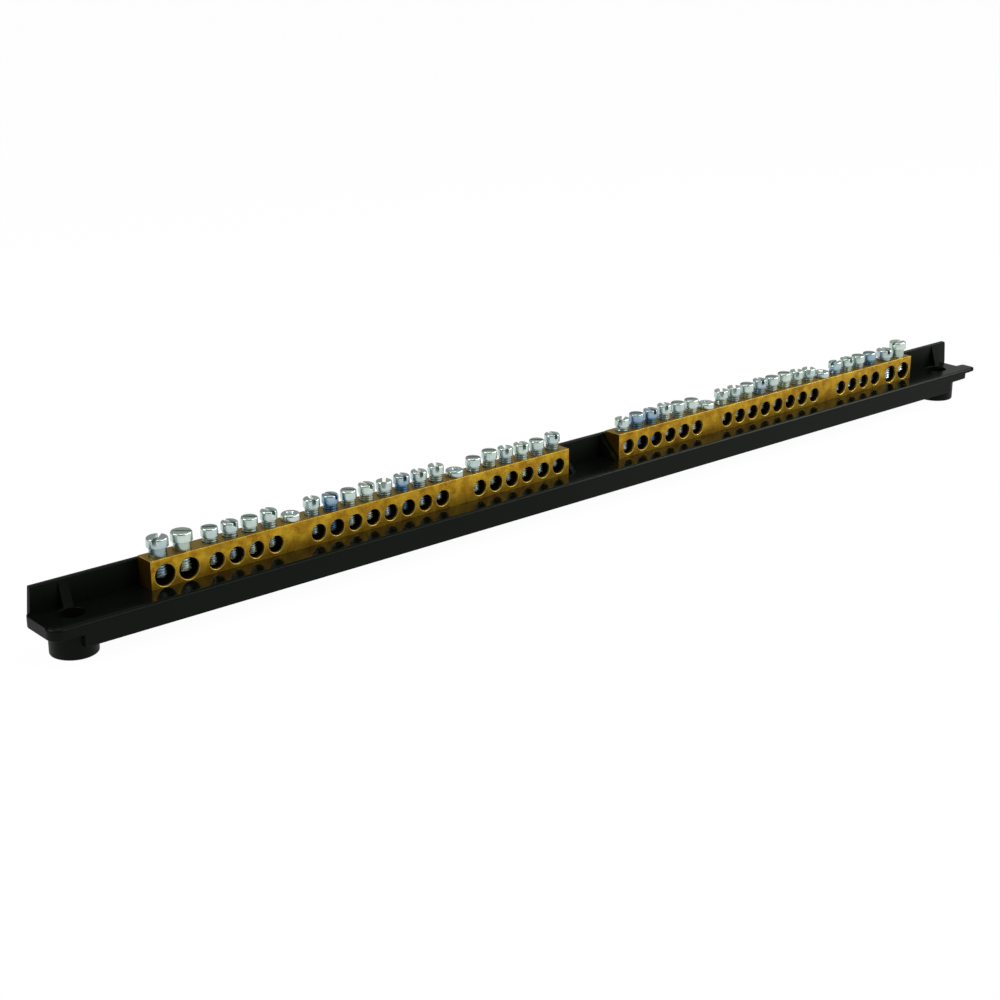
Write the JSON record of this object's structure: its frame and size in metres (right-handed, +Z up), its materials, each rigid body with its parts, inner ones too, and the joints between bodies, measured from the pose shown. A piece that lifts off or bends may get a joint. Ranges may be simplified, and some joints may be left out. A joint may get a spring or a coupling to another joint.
{
  "type": "neutral and earth terminal bar",
  "caption": "Twin drilled brass terminal bars with slotted clamp screws, fixed in line in a long black moulded tray with a rear wall and a mounting boss near each end.",
  "frame": {"origin": "midway between the two mounting holes, on the plane of the boss feet", "axes": "+X along the tray to the end with the tongue, +Y to the rear wall, +Z up through the mounting holes"},
  "size_m": [0.4507, 0.0187, 0.0289],
  "materials": {
    "moulding": "black moulding, glossy floor and satin front",
    "brass": "drawn brass, slightly tarnished",
    "zinc_plated_steel": "zinc plate with a pale passivation"
  },
  "bodies": {
    "root": {"tray": "moulding", "neutral_bar": "brass", "neutral_main_screws": "zinc_plated_steel", "neutral_clamp_screws_outer": "zinc_plated_steel", "neutral_clamp_screws_middle": "zinc_plated_steel", "neutral_clamp_screws_inner": "zinc_plated_steel", "neutral_fixing_screws": "zinc_plated_steel", "earth_bar": "brass", "earth_main_screws": "zinc_plated_steel", "earth_clamp_screws_outer": "zinc_plated_steel", "earth_clamp_screws_middle": "zinc_plated_steel", "earth_clamp_screws_inner": "zinc_plated_steel", "earth_fixing_screws": "zinc_plated_steel"}
  },
  "joints": []
}
